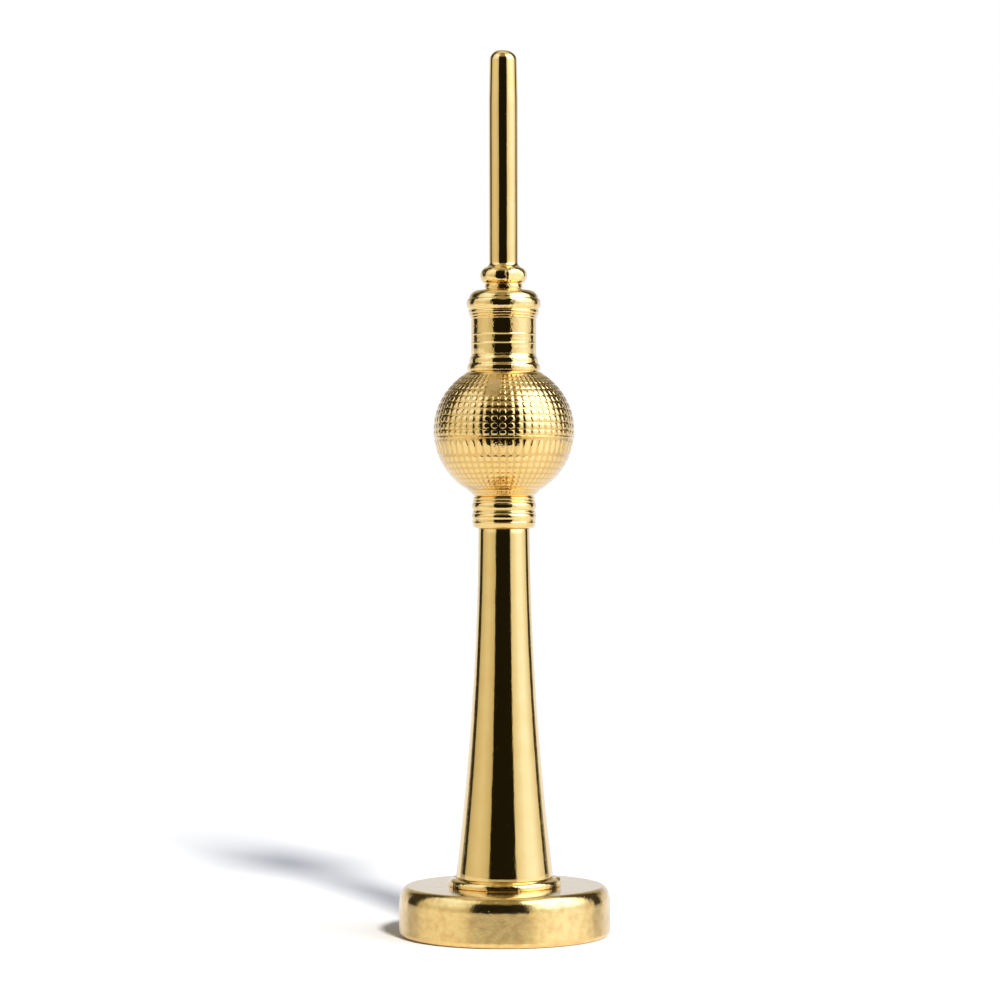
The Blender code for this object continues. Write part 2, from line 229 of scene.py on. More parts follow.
def satin_cast_gold():
    """Plated casting with a tumbled skin: crisp on the rounded rim and duller down the side
    wall, stained in patches all over, with fine grain and scattered pits."""
    finish = Finish("satin_cast_gold", GOLD, 0.2)
    finish.tint(finish.span(finish.noise(1.2 * MM, 5.0), 0.42, 0.78, 0.0, 0.9), GOLD, STAINED_GOLD)
    roughness = finish.span(
        finish.height(), DULL_BELOW, CRISP_ABOVE, DULL_ROUGHNESS, CRISP_ROUGHNESS
    )
    finish.links.new(roughness, finish.shader.inputs["Roughness"])
    finish.relief(finish.noise(1.6 * MM, 2.0, seed=5.0), 0.035 * MM)
    finish.relief(finish.noise(0.35 * MM, 3.0), 0.010 * MM)
    finish.relief(finish.pits(0.9 * MM, 0.10), 0.035 * MM)
    finish.shader.inputs["Coat Weight"].default_value = 0.8
    finish.shader.inputs["Coat Roughness"].default_value = 0.16
    return finish.material


base_outline = [(POCKET_RADIUS, BASE_TOP)]
base_outline += round_over(
    BASE_RADIUS - BASE_SHOULDER_WIDTH,
    BASE_TOP - BASE_SHOULDER_HEIGHT,
    BASE_SHOULDER_WIDTH,
    90,
    0,
    BASE_SHOULDER_HEIGHT,
)
base_outline += round_over(
    BASE_RADIUS - BASE_BOTTOM_ROUND,
    BASE_RIM + BASE_BOTTOM_ROUND,
    BASE_BOTTOM_ROUND,
    0,
    -90,
)
base_outline += [
    (RECESS_RADIUS, BASE_RIM),
    (RECESS_RADIUS, RECESS_TOP),
    (COUNTERBORE_RADIUS, RECESS_TOP),
    (COUNTERBORE_RADIUS, COUNTERBORE_TOP),
    (ROD_HOLE, COUNTERBORE_TOP),
    (ROD_HOLE, POCKET_FLOOR),
    (POCKET_RADIUS, POCKET_FLOOR),
]
base = turn("satin_base", base_outline, 192)
base.data.materials.append(satin_cast_gold())
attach(base, "root")
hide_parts("base_disc")

# --- Felt pad ------------------------------------------------------------------------------
# A disc of pressed wool felt, punched out and stuck in the recess. It hides the nut and keeps
# the casting off the table.

FELT_DARK = (0.012, 0.028, 0.02)
FELT_LIGHT = (0.035, 0.07, 0.05)
PAD_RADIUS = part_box("felt_pad")[1].x
PAD_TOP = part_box("felt_pad")[1].z
PAD_EDGE_ROUND = 0.25 * MM


def pressed_felt():
    finish = Finish("pressed_felt", FELT_LIGHT, 0.95, metallic=0.0)
    finish.shader.inputs["Sheen Weight"].default_value = 0.5
    finish.tint(finish.noise(0.35 * MM, 4.0), FELT_DARK, FELT_LIGHT)
    finish.relief(finish.noise(0.12 * MM, 4.0, stretch=(1.0, 3.0, 1.0)), 0.06 * MM)
    finish.relief(finish.noise(0.9 * MM, 2.0), 0.05 * MM)
    return finish.material


pad_outline = [(PAD_RADIUS - PAD_EDGE_ROUND, PAD_TOP)]
pad_outline += round_over(
    PAD_RADIUS - PAD_EDGE_ROUND, PAD_TOP - PAD_EDGE_ROUND, PAD_EDGE_ROUND, 90, 0
)[1:]
pad_outline += round_over(PAD_RADIUS - PAD_EDGE_ROUND, PAD_EDGE_ROUND, PAD_EDGE_ROUND, 0, -90)
pad_outline += [(PAD_RADIUS / 2, 0.0), (0.0, 0.0)]
pad = turn("felt_pad_disc", pad_outline, 96)
pad.data.materials.append(pressed_felt())
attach(pad, "root")
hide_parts("felt_pad")

# --- Hardware inside -----------------------------------------------------------------------
# An M3 rod with its nut and washer pulls the stack together, and a turned brass bush centres
# the shaft on the base. They are the design's own solids, finished in zinc and in bare brass.

ZINC = (0.55, 0.56, 0.58)
ZINC_BLUE = (0.48, 0.51, 0.58)
BARE_BRASS = (0.72, 0.50, 0.20)
WORN_BRASS = (0.55, 0.36, 0.14)
THREAD_PITCH = 0.5 * MM


def zinc_plate(name, threaded):
    """Bright zinc with a faint blue bloom; a threaded piece gets its ridges round the axis."""
    finish = Finish(name, ZINC, 0.28)
    finish.tint(finish.noise(1.2 * MM, 3.0), ZINC, ZINC_BLUE)
    finish.rough(finish.noise(0.3 * MM, 2.0, seed=1.0), 0.2, 0.36)
    finish.relief(finish.noise(0.15 * MM, 2.0), 0.004 * MM)
    if threaded:
        ridges = finish.nodes.new("ShaderNodeTexWave")
        ridges.wave_type = "BANDS"
        ridges.bands_direction = "Z"
        ridges.inputs["Scale"].default_value = math.tau / THREAD_PITCH / 20.0
        finish.links.new(finish.place, ridges.inputs["Vector"])
        finish.relief(ridges.outputs["Fac"], 0.2 * MM)
    return finish.material


def turned_brass():
    finish = Finish("turned_brass_bush", BARE_BRASS, 0.3)
    finish.tint(finish.noise(1.5 * MM, 3.0), BARE_BRASS, WORN_BRASS)
    finish.relief(finish.noise(0.1 * MM, 1.0, stretch=(0.05, 0.05, 1.0)), 0.006 * MM)
    return finish.material


hardware_finishes = {
    "tie_rod": zinc_plate("zinc_threaded_rod", threaded=True),
    "hex_nut": zinc_plate("zinc_nut", threaded=False),
    "washer": zinc_plate("zinc_washer", threaded=False),
    "locating_bush": turned_brass(),
}
for node_name, finish_material in hardware_finishes.items():
    node_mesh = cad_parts[node_name].data
    node_mesh.materials.clear()
    node_mesh.materials.append(finish_material)

# --- Shaft foot ring -----------------------------------------------------------------------
# A thin round-edged ring that hides the joint between shaft and base. It is polished with the
# shaft, and a small burr is left standing on its right-hand side.

FOOT_RING_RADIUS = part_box("shaft_foot_ring")[1].x
FOOT_RING_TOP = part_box("shaft_foot_ring")[1].z
FOOT_RING_FLAT = 0.4 * MM
FOOT_RING_ROUND = 0.6 * MM
FOOT_RING_CHAMFER = (0.10 * MM, 0.12 * MM)
SHAFT_SEAT = FOOT_RING_TOP - 0.05 * MM
SEAT_GROOVE_RADIUS = 8.0 * MM


def mirror_gold(name, ripple, dimple, drawn=0.0, turned=0.0):
    """Polished plate: a slow ripple left by the buffing wheel, small dimples from the casting,
    and faint streaks, drawn along the axis or turned round it."""
    finish = Finish(name, GOLD, 0.06)
    finish.tint(finish.span(finish.noise(3.0 * MM, 3.0), 0.4, 0.75, 0.0, 0.6), GOLD, DEEP_GOLD)
    finish.rough(finish.noise(0.8 * MM, 3.0, seed=3.0), 0.03, 0.08)
    finish.relief(finish.noise(2.4 * MM, 2.0, seed=7.0), ripple)
    finish.relief(finish.noise(0.6 * MM, 2.0, seed=11.0), dimple)
    if drawn:
        finish.relief(finish.noise(0.3 * MM, 2.0, stretch=(1.0, 1.0, 0.04)), drawn)
    if turned:
        finish.relief(finish.noise(0.3 * MM, 3.0, stretch=(0.04, 0.04, 1.0)), turned)
    finish.relief(finish.pits(0.6 * MM, 0.08), 0.006 * MM)
    finish.lacquer()
    return finish.material


foot_outline = round_over(
    FOOT_RING_RADIUS - FOOT_RING_ROUND,
    BASE_TOP + FOOT_RING_FLAT,
    FOOT_RING_ROUND,
    80,
    0,
    FOOT_RING_TOP - BASE_TOP - FOOT_RING_FLAT,
)
foot_outline += [
    (FOOT_RING_RADIUS, BASE_TOP + FOOT_RING_CHAMFER[1]),
    (FOOT_RING_RADIUS - FOOT_RING_CHAMFER[0], BASE_TOP),
    (POCKET_RADIUS, BASE_TOP),
    (POCKET_RADIUS, SHAFT_SEAT),
    (SEAT_GROOVE_RADIUS, SHAFT_SEAT),
    (SEAT_GROOVE_RADIUS + 0.2 * MM, FOOT_RING_TOP + 0.12 * MM),
]
foot_ring = turn("foot_ring", foot_outline, 160, 0.03 * MM)


def nudge(piece, azimuth, radius, height, push, reach):
    """Pushes a soft dent or lump into a piece at one place, with nearby points following."""
    at = (
        radius * math.sin(math.radians(azimuth)),
        -radius * math.cos(math.radians(azimuth)),
        height,
    )
    bpy.ops.object.mode_set(mode="EDIT")
    bpy.ops.mesh.select_all(action="DESELECT")
    bpy.ops.object.mode_set(mode="OBJECT")
    nearest = min(piece.data.vertices, key=lambda vertex: (vertex.co - Vector(at)).length)
    nearest.select = True
    bpy.ops.object.mode_set(mode="EDIT")
    bpy.ops.transform.translate(
        value=push,
        use_proportional_edit=True,
        proportional_edit_falloff="SMOOTH",
        proportional_size=reach,
    )
    bpy.ops.object.mode_set(mode="OBJECT")


# Hand polishing leaves the rim a little uneven. Each place: its azimuth and its lift in mm.
RIM_UNEVEN = (
    (-75, 0.07), (-48, -0.06), (-20, 0.05), (15, -0.05), (38, 0.06), (100, 0.06), (170, 0.04),
)
RIM_CREST = (8.5 * MM, 9.1 * MM)
for azimuth, lift in RIM_UNEVEN:
    nudge(foot_ring, azimuth, *RIM_CREST, (0, 0, lift * MM), 1.6 * MM)

# The burr: where it is, how it stands up, and how wide it is.
BURR_AZIMUTH = 83
BURR_PLACE = (8.6 * MM, 9.0 * MM)
BURR_LIFT = (0.1 * MM, 0, 0.3 * MM)
BURR_WIDTH = 1.2 * MM
nudge(foot_ring, BURR_AZIMUTH, *BURR_PLACE, BURR_LIFT, BURR_WIDTH)
foot_ring.data.materials.append(mirror_gold("foot_ring_gold", 0.12 * MM, 0.05 * MM))
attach(foot_ring, "root")
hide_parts("shaft_foot_ring")

# --- Shaft ---------------------------------------------------------------------------------
# The tall tower shaft, cast hollow to half its height, then buffed along its length to a
# mirror. It is nearly straight under the collar and flares out towards the foot.

SHAFT_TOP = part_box("shaft")[1].z
COLLAR_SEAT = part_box("collar")[0].z
SEAT_BORE_TOP = 12.0 * MM
SHAFT_TOP_RADIUS = 4.04 * MM
FLARE_LINEAR = 0.69 * MM
FLARE_SQUARE = 3.02 * MM
SHAFT_WALL = 1.7 * MM
HOLLOW_TOP = 38.0 * MM
SHAFT_RINGS = 48


def shaft_radius(height):
    share = (SHAFT_TOP - height) / (SHAFT_TOP - FOOT_RING_TOP)
    return SHAFT_TOP_RADIUS + FLARE_LINEAR * share + FLARE_SQUARE * share * share


shaft_heights = [
    COLLAR_SEAT + (SHAFT_SEAT - COLLAR_SEAT) * i / SHAFT_RINGS for i in range(SHAFT_RINGS + 1)
]
shaft_outline = [(shaft_radius(z), z) for z in shaft_heights]
shaft_outline += [
    (POCKET_RADIUS, SHAFT_SEAT),
    (POCKET_RADIUS, SEAT_BORE_TOP),
    (shaft_radius(HOLLOW_TOP) - SHAFT_WALL, HOLLOW_TOP),
    (ROD_HOLE, HOLLOW_TOP + SHAFT_WALL),
    (ROD_HOLE, COLLAR_SEAT),
]
shaft = turn("tower_shaft", shaft_outline, 160)
shaft.data.materials.append(
    mirror_gold("shaft_gold", 0.014 * MM, 0.004 * MM, drawn=0.006 * MM)
)
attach(shaft, "root")
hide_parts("shaft")

# --- Collar --------------------------------------------------------------------------------
# Turned in one piece: two thin rings, a fat ridge, a thin ring, and another fat ridge that runs
# down into a faint line and is rounded in to meet the shaft.

COLLAR_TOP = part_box("collar")[1].z
COLLAR_TOP_RADIUS = 4.6 * MM
# Each ridge: the height of its middle, half its width, its radius, how far it bulges.
COLLAR_RIDGES = (
    (69.16 * MM, 0.25 * MM, 4.88 * MM, 0.18 * MM),
    (68.66 * MM, 0.23 * MM, 4.94 * MM, 0.17 * MM),
    (67.93 * MM, 0.62 * MM, 5.09 * MM, 0.30 * MM),
    (66.88 * MM, 0.24 * MM, 4.99 * MM, 0.12 * MM),
)


def ridges(rows):
    """Half-round ridges one under another, each a part of an ellipse."""
    points = []
    for middle, half, radius, bulge in rows:
        points += round_over(radius - bulge, middle, bulge, 82, -82, half)
    return points


collar_outline = [(ROD_HOLE, COLLAR_TOP), (COLLAR_TOP_RADIUS, COLLAR_TOP)]
collar_outline += ridges(COLLAR_RIDGES)
# The lower fat ridge, the faint line under it, and the round down to the shaft.
collar_outline += round_over(4.82 * MM, 66.30 * MM, 0.28 * MM, 82, -50, 0.50 * MM)
collar_outline += round_over(4.92 * MM, 65.30 * MM, 0.10 * MM, 60, -45, 0.15 * MM)
collar_outline += round_over(4.42 * MM, 65.10 * MM, 0.56 * MM, -30, -80, 0.64 * MM)
collar_outline += [(shaft_radius(COLLAR_SEAT) - 0.1 * MM, COLLAR_SEAT), (ROD_HOLE, COLLAR_SEAT)]
collar = turn("ringed_collar", collar_outline, 128)
collar.data.materials.append(
    mirror_gold("collar_gold", 0.08 * MM, 0.03 * MM, turned=0.004 * MM)
)
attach(collar, "root")
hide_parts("collar")

# --- Ball ----------------------------------------------------------------------------------
# Two cast bowls that meet just under the middle, at a plain smooth line. The mould is cut with
# a grid, so the casting comes out covered in little square cushions with grooves between. The
# cushions stand well up on the upper bowl, and grow ever shallower down the lower one.

BALL_RADIUS = 11.08 * MM
BALL_HALF_HEIGHT = 10.74 * MM
BALL_DEPTH = 10.94 * MM
BALL_CENTRE = 79.9 * MM
COLUMNS = 54
FIRST_GROOVE = 2.42
SEAM = -5.9
# The latitudes of the grooves, in degrees, up from the seam and down from it.
UPPER_GROOVES = (-4.8, 0.1, 6.1, 12.1, 18.1, 24.1, 30.1, 36.1, 42.1, 48.1, 54.1)
LOWER_GROOVES = (-7.0, -21.2, -27.3, -33.0, -38.5, -43.8, -49.1, -54.3, -59.3)
SEAM_RIDGE = 0.19 * MM
SEAM_LIP = 0.45
# Above the grid the skin is bare, and stands about as proud as the cushions.
BARE_LATITUDES = (55.5, 58.0, 61.0, 65.0)
BARE_SKIN = 0.10 * MM
BALL_TOP = 89.72 * MM
BALL_TOP_RADIUS = 4.5 * MM
# Each bowl is cored out, and the two meet on a flat ring round the hollow. The grid is only on
# faces farther from the ball's middle than the core reaches.
CORE_RADIUS = 7.6 * MM
CORE_REACH = 9.4 * MM
SEAM_FLAT_RADIUS = 10.9 * MM
# The core's section in either bowl, from the rod's hole outwards: (radius, height).
UPPER_CORE = ((5.0 * MM, 85.8 * MM), (7.0 * MM, 82.5 * MM), (CORE_RADIUS, 79.5 * MM))
UPPER_CORE_TOP = 87.0 * MM
LOWER_CORE = ((5.0 * MM, 74.0 * MM), (7.0 * MM, 76.5 * MM))
LOWER_CORE_BOTTOM = 73.0 * MM
# Each cushion steps up three times: how far in and how far up, in mm, at the ball's middle.
UPPER_STEPS = ((0.07, 0.055), (0.10, 0.034), (0.12, 0.016))
LOWER_STEPS = ((0.07, 0.048), (0.11, 0.034), (0.13, 0.014))
LOWER_FADE = 0.6
CASTING_WOBBLE = 0.02 * MM
CUSHION_WOBBLE = 0.007 * MM
CUSHION_SMOOTH_ANGLE = math.radians(35)


def on_ball(latitude, proud=0.0):
    """The (radius, height) of a point on the ball's skin, or standing proud of it."""
    angle = math.radians(latitude)
    half_height = BALL_HALF_HEIGHT if latitude > 0 else BALL_DEPTH
    return (
        (BALL_RADIUS + proud) * math.cos(angle),
        BALL_CENTRE + (half_height + proud) * math.sin(angle),
    )


def embossed_gold(name, roughness):
    """Cast and plated: polished on the cushions and duller down in the grooves, where the darker
    gold is painted shade.
    """
    finish = Finish(name, GOLD, roughness)
    finish.tint(finish.span(finish.noise(1.6 * MM, 3.0), 0.4, 0.7, 0.0, 0.8), GOLD, DEEP_GOLD)
    finish.rough(finish.noise(0.5 * MM, 3.0, seed=3.0), roughness * 0.6, roughness * 1.4)
    finish.relief(finish.noise(0.9 * MM, 2.0, seed=7.0), 0.03 * MM)
    finish.relief(finish.noise(0.3 * MM, 2.0), 0.008 * MM)
    finish.lacquer()
    return finish


# Painted shade: the grooves get a darker and a browner gold than the cushions, for the shade down
# in them. The first of these also serves as the worn patch's duller tone.
GROOVE_SHADE_AND_WEAR_GOLD = (0.86, 0.55, 0.15)
GROOVE_SHADE_BROWN = (0.70, 0.40, 0.09)
WORN_GOLD = (0.78, 0.52, 0.20)


def groove_shade_gold():
    finish = embossed_gold("groove_shade_gold", 0.13)
    # Painted shade: the groove rings are tinted between two darker golds.
    finish.tint(finish.noise(0.8 * MM, 3.0), GROOVE_SHADE_AND_WEAR_GOLD, GROOVE_SHADE_BROWN)
    return finish.material


def worn_gold():
    """The plain patch: plating that was rubbed with an abrasive and has gone dull."""
    finish = embossed_gold("worn_patch_gold", 0.32)
    finish.tint(finish.noise(0.8 * MM, 3.0), WORN_GOLD, GROOVE_SHADE_AND_WEAR_GOLD)
    finish.relief(finish.noise(0.12 * MM, 2.0, stretch=(1.0, 1.0, 0.3)), 0.004 * MM)
    return finish.material


CUSHION, GROOVE, PATCH = range(3)
ball_finishes = (embossed_gold("cushion_gold", 0.07).material, groove_shade_gold(), worn_gold())

# Where the plain patch is, in degrees round the ball and up from its middle.
PATCH_AZIMUTHS = (-17.8, -4.0)
PATCH_LATITUDES = (30.2, 60.0)


def on_plain_patch(point):
    """Whether a point is on the worn patch, just under the drum, where the mould left no grid."""
    azimuth = math.degrees(math.atan2(point.x, -point.y))
    share = (point.z - BALL_CENTRE) / BALL_HALF_HEIGHT
    latitude = math.degrees(math.asin(max(-1.0, min(1.0, share))))
    return (
        PATCH_AZIMUTHS[0] < azimuth < PATCH_AZIMUTHS[1]
        and PATCH_LATITUDES[0] < latitude < PATCH_LATITUDES[1]
    )


def crease_seam(piece, radius, height):
    """Keeps the bowl's outer edge sharp where it meets the other bowl."""
    bpy.ops.mesh.select_all(action="DESELECT")
    bpy.ops.object.mode_set(mode="OBJECT")
    points = piece.data.vertices
    for edge in piece.data.edges:
        middle = (points[edge.vertices[0]].co + points[edge.vertices[1]].co) / 2
        level = abs(middle.z - height) < 0.1 * MM
        edge.select = level and math.hypot(middle.x, middle.y) > radius - 0.1 * MM
    bpy.ops.object.mode_set(mode="EDIT")
    bpy.ops.transform.edge_crease(value=1.0)


def bowl(name, outline, grooves, steps, fade, seed):
    """One bowl: a many-sided ring pulled along its outline, whose faces between the grooves
    become cushions. The fade is how much of their height they lose towards the last groove."""
    bpy.ops.object.select_all(action="DESELECT")
    radius, height = outline[0]
    bpy.ops.mesh.primitive_circle_add(vertices=COLUMNS, radius=radius, location=(0, 0, height))
    piece = bpy.context.object
    piece.name = name
    piece.rotation_euler = (0, 0, math.radians(FIRST_GROOVE))
    bpy.ops.object.transform_apply(location=True, rotation=True, scale=False)
    bpy.ops.object.mode_set(mode="EDIT")
    bpy.ops.mesh.select_all(action="SELECT")
    pull_ring(outline[0], outline[1:] + outline[:1])
    bpy.ops.mesh.select_all(action="SELECT")
    bpy.ops.mesh.remove_doubles(threshold=MERGE_DISTANCE)
    bpy.ops.mesh.normals_make_consistent(inside=False)
    bpy.ops.transform.vertex_random(offset=CASTING_WOBBLE, seed=seed)
    crease_seam(piece, radius, height)
    for finish_material in ball_finishes:
        piece.data.materials.append(finish_material)
    for row, (first, second) in enumerate(zip(grooves, grooves[1:])):
        low, high = sorted((on_ball(first)[1], on_ball(second)[1]))
        narrowing = math.cos(math.radians((first + second) / 2)) * MM
        bpy.ops.mesh.select_all(action="DESELECT")
        bpy.ops.object.mode_set(mode="OBJECT")
        for face in piece.data.polygons:
            outside = (face.center - Vector((0, 0, BALL_CENTRE))).length > CORE_REACH
            in_row = low < face.center.z < high
            face.select = outside and in_row and not on_plain_patch(face.center)
        bpy.ops.object.mode_set(mode="EDIT")
        bpy.ops.transform.edge_crease(value=1.0)
        rise = narrowing * (1 - fade * row / len(grooves))
        for step, (inward, upward) in enumerate(steps):
            # The groove ring takes the painted-shade gold, and the steps above it take the cushion
            # gold.
            piece.active_material_index = GROOVE if step == 0 else CUSHION
            bpy.ops.object.material_slot_assign()
            bpy.ops.mesh.inset(
                thickness=inward * narrowing, depth=upward * rise, use_individual=True
            )
        bpy.ops.transform.vertex_random(offset=CUSHION_WOBBLE, seed=seed + row + 1)
    bpy.ops.object.mode_set(mode="OBJECT")
    round_off = piece.modifiers.new("Round off", "SUBSURF")
    round_off.levels = 1
    round_off.render_levels = 1
    bpy.ops.object.modifier_apply(modifier=round_off.name)
    bpy.ops.object.shade_smooth_by_angle(angle=CUSHION_SMOOTH_ANGLE)
    return piece


upper_outline = [on_ball(SEAM, SEAM_RIDGE), on_ball(SEAM + SEAM_LIP, SEAM_RIDGE)]
upper_outline += [on_ball(latitude) for latitude in UPPER_GROOVES]
upper_outline += [on_ball(latitude, BARE_SKIN) for latitude in BARE_LATITUDES]
upper_outline += [(BALL_TOP_RADIUS, BALL_TOP), (ROD_HOLE, BALL_TOP), (ROD_HOLE, UPPER_CORE_TOP)]
upper_outline += UPPER_CORE
upper_outline += [
    (CORE_RADIUS, upper_outline[0][1]),
    (SEAM_FLAT_RADIUS, upper_outline[0][1]),
]
upper_bowl = bowl("ball_upper_bowl", upper_outline, UPPER_GROOVES, UPPER_STEPS, 0.0, 11)
for face in upper_bowl.data.polygons:
    if on_plain_patch(face.center):
        face.material_index = PATCH
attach(upper_bowl, "root")
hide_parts("ball_upper_half")

# The lower bowl ends in a small foot that runs out to meet the collar, with the grid on it.
FOOT_GROOVE = -66.4
BALL_FOOT = ((5.30 * MM, 70.12 * MM), (4.98 * MM, 69.80 * MM), (4.80 * MM, 69.58 * MM))

lower_outline = [on_ball(SEAM, SEAM_RIDGE), on_ball(SEAM - SEAM_LIP, SEAM_RIDGE)]
lower_outline += [on_ball(latitude) for latitude in LOWER_GROOVES]
lower_outline += BALL_FOOT
lower_outline += [(4.66 * MM, COLLAR_TOP - 0.05 * MM), (4.2 * MM, COLLAR_TOP - 0.1 * MM)]
lower_outline += [(ROD_HOLE, COLLAR_TOP - 0.1 * MM), (ROD_HOLE, LOWER_CORE_BOTTOM)]
lower_outline += LOWER_CORE
lower_outline += [
    (CORE_RADIUS, lower_outline[0][1]),
    (SEAM_FLAT_RADIUS, lower_outline[0][1]),
]
lower_bowl = bowl(
    "ball_lower_bowl", lower_outline, (*LOWER_GROOVES, FOOT_GROOVE), LOWER_STEPS, LOWER_FADE, 13
)
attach(lower_bowl, "root")
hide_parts("ball_lower_half")

# --- Drum foot ring ------------------------------------------------------------------------
# A turned ring that steps out twice between drum and ball: a narrow band, then a wider one
# whose lower edge turns in and sits on the ball.

FOOT_BANDS_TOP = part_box("drum_foot_ring")[1].z
DRUM_RADIUS = 5.14 * MM

drum_foot_outline = [
    (ROD_HOLE, FOOT_BANDS_TOP),
    (DRUM_RADIUS + 0.01 * MM, FOOT_BANDS_TOP),
    (5.17 * MM, 91.72 * MM),
    (5.25 * MM, 91.50 * MM),
    (5.38 * MM, 91.30 * MM),
    (5.42 * MM, 91.16 * MM),
    (5.45 * MM, 90.85 * MM),
    (5.45 * MM, 90.60 * MM),
    (5.52 * MM, 90.42 * MM),
    (5.68 * MM, 90.26 * MM),
    (5.75 * MM, 90.10 * MM),
    (5.78 * MM, 89.82 * MM),
    (5.77 * MM, 89.50 * MM),
    (5.70 * MM, 89.32 * MM),
    (5.55 * MM, 89.12 * MM),
    (5.45 * MM, 89.02 * MM),
    (ROD_HOLE, 89.02 * MM),
]
drum_foot = turn("drum_foot_bands", drum_foot_outline, 128, 0.04 * MM)
drum_foot.data.materials.append(
    mirror_gold("drum_foot_gold", 0.09 * MM, 0.05 * MM, turned=0.005 * MM)
)
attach(drum_foot, "root")
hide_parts("drum_foot_ring")

# --- Drum ----------------------------------------------------------------------------------
# A short turned cylinder. Two raised lines run all the way round, and the turning tool has left
# fainter ones between and below them.

DRUM_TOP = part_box("drum")[1].z
# Each line: its height, half its width and how far it stands up.
DRUM_LINES = (
    (95.07 * MM, 0.12 * MM, 0.09 * MM),
    (94.20 * MM, 0.10 * MM, 0.015 * MM),
    (93.67 * MM, 0.12 * MM, 0.09 * MM),
    (92.90 * MM, 0.10 * MM, 0.015 * MM),
)

drum_outline = [(ROD_HOLE, DRUM_TOP), (DRUM_RADIUS, DRUM_TOP)]
for line_height, line_half, line_proud in DRUM_LINES:
    drum_outline += [
        (DRUM_RADIUS, line_height + line_half),
        (DRUM_RADIUS + line_proud, line_height),
        (DRUM_RADIUS, line_height - line_half),
    ]
drum_outline += [(DRUM_RADIUS, FOOT_BANDS_TOP), (ROD_HOLE, FOOT_BANDS_TOP)]
drum = turn("turned_drum", drum_outline, 128, 0.03 * MM)
drum.data.materials.append(
    mirror_gold("drum_gold", 0.07 * MM, 0.04 * MM, turned=0.006 * MM)
)
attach(drum, "root")
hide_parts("drum")

# --- Drum cap ------------------------------------------------------------------------------
# The drum's roof, turned in one piece: a rounded shoulder, a fine step, a fat rounded rim, and
# three thin beads where it comes down to the drum.

CAP_TOP = 102.15 * MM

cap_outline = [(ROD_HOLE, CAP_TOP), (3.1 * MM, CAP_TOP)]
cap_outline += round_over(3.9 * MM, 100.5 * MM, 1.66 * MM, 84, 8, 1.6 * MM)
cap_outline += round_over(5.29 * MM, 99.95 * MM, 0.57 * MM, 52, -62, 0.96 * MM)
cap_outline += ridges(
    (
        (98.62 * MM, 0.24 * MM, 5.58 * MM, 0.10 * MM),
        (98.15 * MM, 0.18 * MM, 5.42 * MM, 0.09 * MM),
        (97.74 * MM, 0.15 * MM, 5.26 * MM, 0.07 * MM),
    )
)
cap_outline += [(DRUM_RADIUS, DRUM_TOP), (ROD_HOLE, DRUM_TOP)]
cap = turn("drum_roof_cap", cap_outline, 128, 0.04 * MM)
cap.data.materials.append(mirror_gold("cap_gold", 0.12 * MM, 0.05 * MM, turned=0.005 * MM))
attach(cap, "root")
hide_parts("drum_cap")

# --- Antenna socket ------------------------------------------------------------------------
# A bead, a thin ring and a short neck, cast in one piece, filed round by hand and screwed onto
# the tie rod. The antenna is pressed into the bead.

ANTENNA_SEAT = 105.9 * MM
BEAD_SKIN = 3.6 * MM

socket_outline = [(1.3 * MM, ANTENNA_SEAT), (2.3 * MM, ANTENNA_SEAT)]
socket_outline += round_over(2.5 * MM, 104.35 * MM, 1.2 * MM, 80, -50, 1.4 * MM)
socket_outline += ridges(((103.45 * MM, 0.22 * MM, 3.28 * MM, 0.16 * MM),))
socket_outline += round_over(2.75 * MM, 102.6 * MM, 0.24 * MM, 70, -50, 0.62 * MM)
socket_outline += [(3.25 * MM, CAP_TOP), (1.3 * MM, CAP_TOP)]
socket = turn("antenna_socket_bead", socket_outline, 96, 0.03 * MM)


def press_in(piece, azimuth, height, depth, reach):
    """Pushes the skin towards the axis, or outwards when the depth is negative."""
    inward = math.radians(azimuth)
    push = (-depth * math.sin(inward), depth * math.cos(inward), 0)
    nudge(piece, azimuth, BEAD_SKIN, height, push, reach)


# Hand filing has left the bead lumpy, and the mould's seam stands up on its front right.
# Each lump: its azimuth and how deep it is pressed in, in mm.
BEAD_LUMPS = ((-2, 0.10), (36, 0.13), (60, -0.10), (-42, -0.08), (100, 0.06), (-120, 0.05))
BEAD_MIDDLE = 104.3 * MM
for azimuth, depth in BEAD_LUMPS:
    press_in(socket, azimuth, BEAD_MIDDLE, depth * MM, 1.2 * MM)

MOULD_SEAM_AZIMUTH = 10
MOULD_SEAM_PROUD = 0.16 * MM
MOULD_SEAM_WIDTH = 0.7 * MM
MOULD_SEAM_HEIGHTS = (105.2, 104.8, 104.4, 104.0, 103.6, 103.2, 102.8)
for height in MOULD_SEAM_HEIGHTS:
    press_in(socket, MOULD_SEAM_AZIMUTH, height * MM, -MOULD_SEAM_PROUD, MOULD_SEAM_WIDTH)
socket.data.materials.append(mirror_gold("socket_gold", 0.16 * MM, 0.07 * MM))
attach(socket, "root")
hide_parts("antenna_socket")

# --- Antenna rod ---------------------------------------------------------------------------
# Drawn rod, turned to a slight taper at the top and buffed along its length, with a small fillet
# where it meets the bead. Its flattened round tip is finished by hand and leans a little left.

TIP_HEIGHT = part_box("antenna_rod")[1].z
ROD_TIP_RADIUS = 2.16 * MM
ROD_RADIUS = 2.29 * MM
TIP_ROUND = 1.6 * MM
TIP_FLAT = 0.25 * MM
ROD_RINGS = 24
FILLET = 0.8 * MM
FILLET_HEIGHT = 0.55 * MM
TAPER_LENGTH = 5.0 * MM
SPIGOT_RADIUS = 1.2 * MM
SPIGOT_BOTTOM = 104.3 * MM
TIP_LEAN = 0.22 * MM

